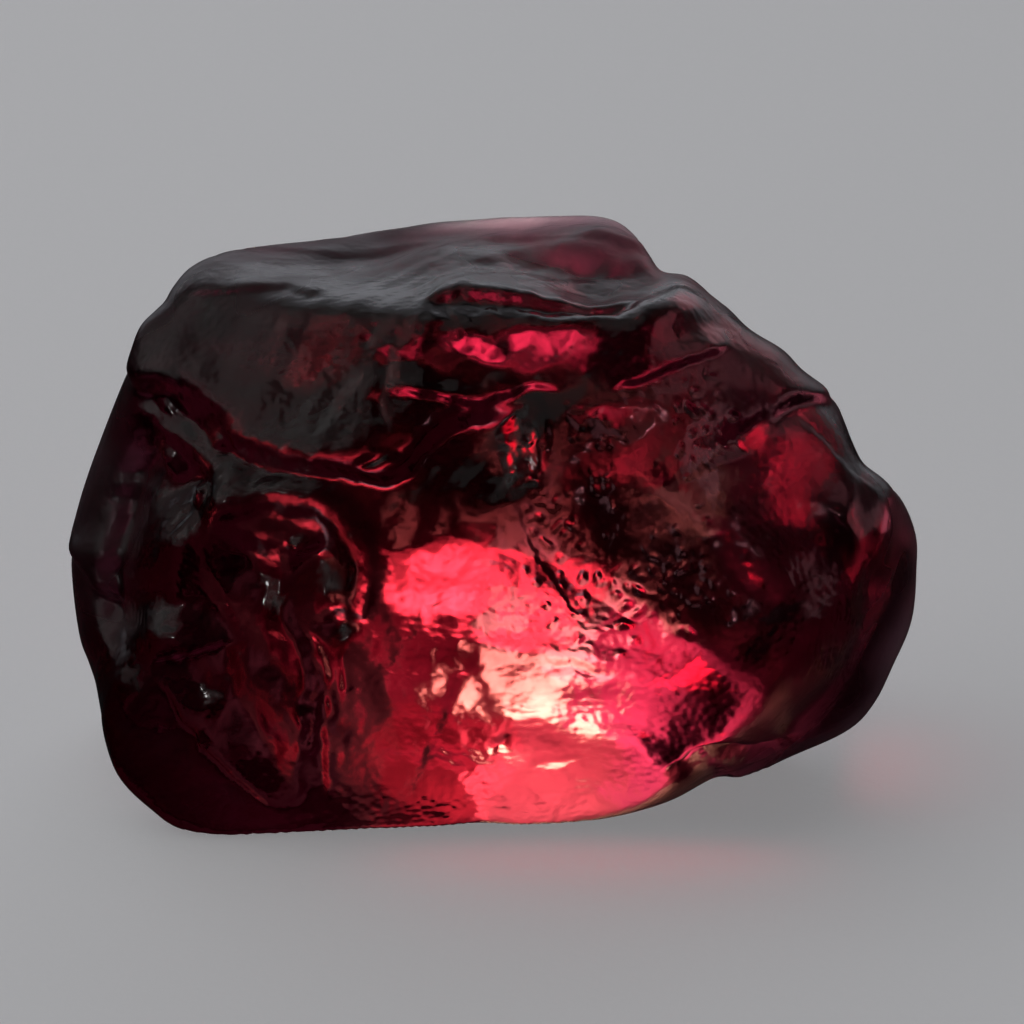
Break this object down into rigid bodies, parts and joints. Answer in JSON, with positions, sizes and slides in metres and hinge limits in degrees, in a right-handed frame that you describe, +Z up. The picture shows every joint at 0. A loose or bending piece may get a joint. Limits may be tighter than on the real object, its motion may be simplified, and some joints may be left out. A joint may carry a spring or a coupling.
{
  "type": "rough ruby crystal",
  "caption": "Water-worn piece of rough ruby: deep red, see-through, with a flat top, sharp ledges and hollows, resting on a flat underside.",
  "frame": {"origin": "on the plane that the stone rests on, below the centre of its bounding box", "axes": "+X along the stone's length towards its narrow right end, -Y towards the face with the clear window, +Z up"},
  "size_m": [0.02, 0.0122, 0.0131],
  "materials": {
    "ruby": "clear deep-red corundum, water-worn to a soft gloss with small etch pits"
  },
  "bodies": {
    "root": {"ruby_crystal": "ruby"}
  },
  "joints": []
}
